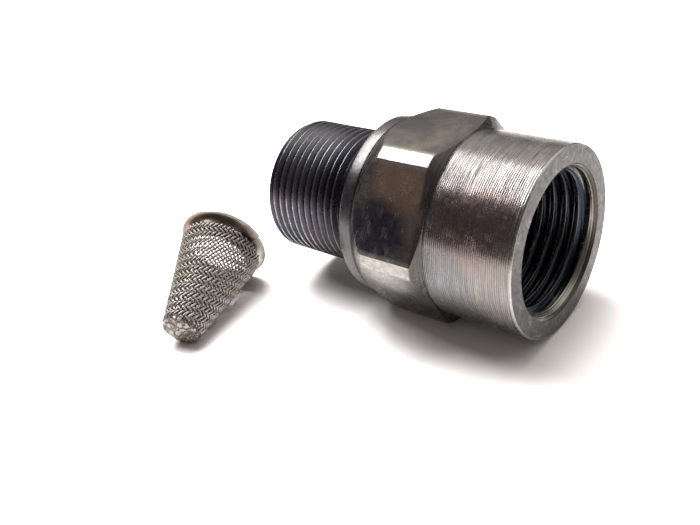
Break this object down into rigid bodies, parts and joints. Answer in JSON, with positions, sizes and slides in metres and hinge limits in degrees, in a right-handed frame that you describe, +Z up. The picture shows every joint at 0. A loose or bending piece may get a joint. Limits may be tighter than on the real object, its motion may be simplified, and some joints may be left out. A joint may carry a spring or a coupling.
{
  "type": "oil burner inlet fitting with cone strainer",
  "caption": "Hexagonal oil inlet fitting with a fine male thread and a threaded socket, with its loose conical wire-cloth strainer lying beside it.",
  "frame": {"origin": "centre of the socket's mouth, on the fitting's axis", "axes": "+X out of the socket along the fitting's axis, +Z up with the fitting lying on one flat of its hexagon"},
  "size_m": [0.0585, 0.0451, 0.026],
  "materials": {
    "fitting_steel": "turned and heat-blued steel with brown-black patina, oily threads and bright worn edges",
    "ferrule_steel": "thin rolled sheet steel, heat-tinted bronze brown with a bright rim",
    "strainer_wire": "plain-weave stainless wire cloth, satin",
    "tip_solder": "dull solder over folded wire cloth"
  },
  "bodies": {
    "fitting": {"fitting_body": "fitting_steel"},
    "strainer": {"strainer_ferrule": "ferrule_steel", "strainer_cloth": "strainer_wire", "strainer_tip": "tip_solder"}
  },
  "joints": [
    {"name": "strainer_lift", "type": "slide", "parent": "fitting", "child": "strainer", "axis": [0, 0, 1], "range_m": [0, 0.03]}
  ]
}
